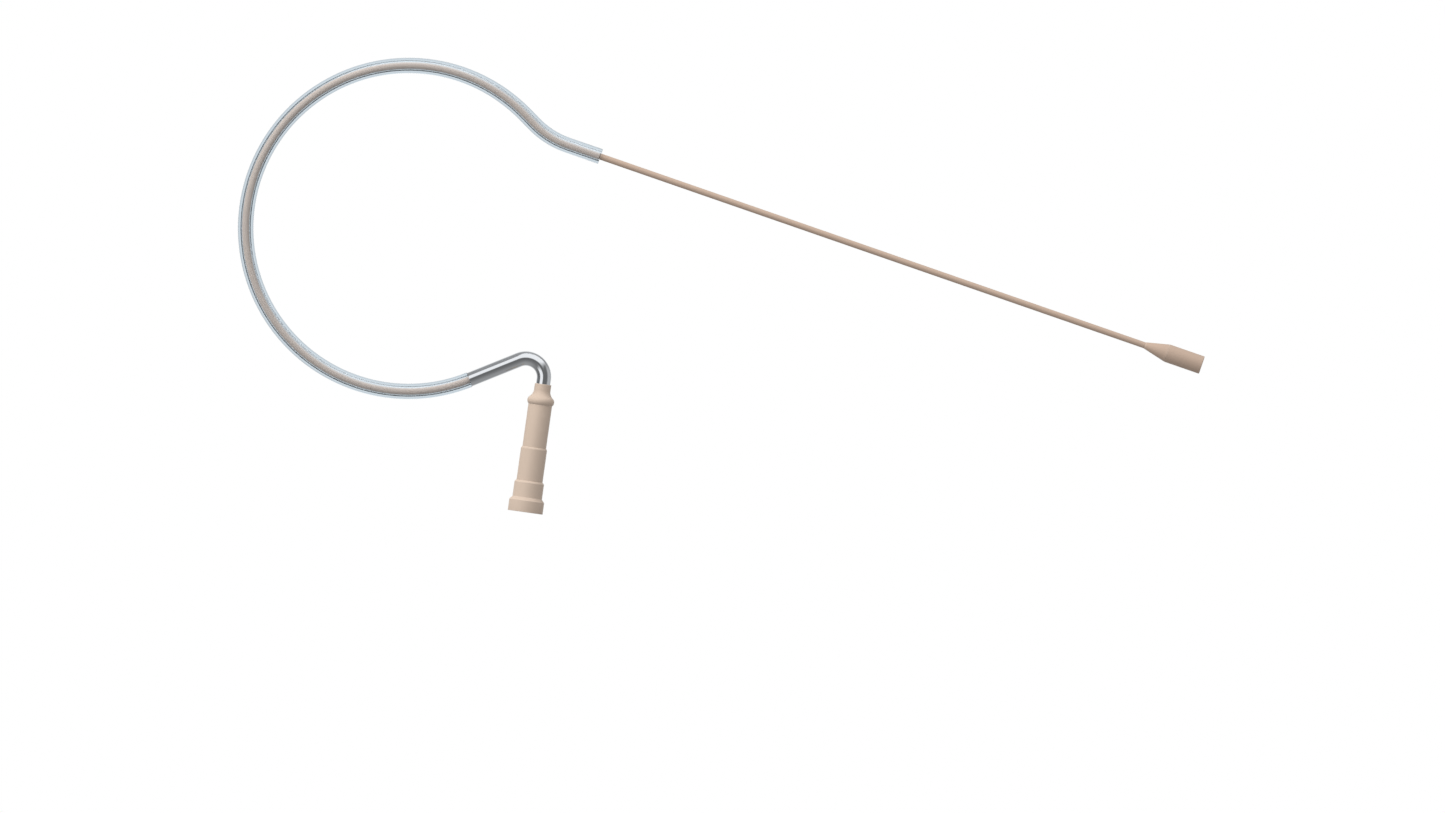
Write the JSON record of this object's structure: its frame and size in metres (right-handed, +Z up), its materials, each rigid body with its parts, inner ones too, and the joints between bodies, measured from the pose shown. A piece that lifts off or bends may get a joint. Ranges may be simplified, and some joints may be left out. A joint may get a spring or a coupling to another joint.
{
  "type": "headset microphone",
  "caption": "Single-ear headset microphone: clear-sleeved ear loop, thin boom with a capped capsule, and a hooked metal tube with a socket for a plug-in cable.",
  "frame": {"origin": "centre of the round ear loop, in the plane of its wire", "axes": "+X forward towards the mouth, +Z up as worn, +Y to the left, square to the loop's plane"},
  "size_m": [0.145, 0.0052, 0.0685],
  "materials": {
    "skin_paint": "satin skin-tone paint on metal",
    "clear_silicone": "clear, smooth, slightly blue",
    "polished_steel": "polished",
    "lead_screen": "thin copper wires wound round the lead",
    "bare_copper": "bright",
    "plain_brass": "turned",
    "gold_plate": "gold plated",
    "white_insulator": "matt",
    "can_metal": "satin",
    "plated_film": "metal plated film",
    "board_laminate": "lacquered",
    "chip_body": "moulded",
    "fine_mesh": "woven"
  },
  "bodies": {
    "ear_loop": {"ear_wire": "skin_paint", "comfort_sleeve": "clear_silicone", "hook_tube": "polished_steel", "ear_lead": "lead_screen", "ear_lead_core": "bare_copper", "tube_boot": "skin_paint", "rear_barrel": "skin_paint", "crimp_ferrule": "plain_brass", "front_barrel": "skin_paint", "outer_contact": "gold_plate", "socket_insulator": "white_insulator", "centre_contact": "gold_plate", "mouth_ring": "skin_paint"},
    "boom_flex": {"flex_lead": "lead_screen"},
    "boom": {"boom_tube": "skin_paint", "boom_lead": "lead_screen", "boom_lead_core": "bare_copper", "capsule_housing": "skin_paint", "capsule_can": "can_metal", "diaphragm_ring": "plain_brass", "diaphragm": "plated_film", "spacer_ring": "white_insulator", "backplate": "plain_brass", "plate_holder": "white_insulator", "amplifier_board": "board_laminate", "amplifier_chip": "chip_body"},
    "cap": {"protective_cap": "skin_paint", "cap_mesh": "fine_mesh"}
  },
  "joints": [
    {"name": "boom_tilt", "type": "hinge", "parent": "ear_loop", "child": "boom_flex", "pos_m": [0.02877, 0, 0.01079], "axis": [0, -1, 0], "range_deg": [-20, 20], "deforming": ["flex_lead"]},
    {"name": "boom_swing", "type": "hinge", "parent": "boom_flex", "child": "boom", "pos_m": [0.02877, 0, 0.01079], "axis": [0.3277, 0, 0.9448], "range_deg": [-20, 20], "deforming": ["flex_lead"]},
    {"name": "cap_slide", "type": "slide", "parent": "boom", "child": "cap", "axis": [0.9448, 0, -0.3277], "range_m": [0, 0.007]}
  ]
}
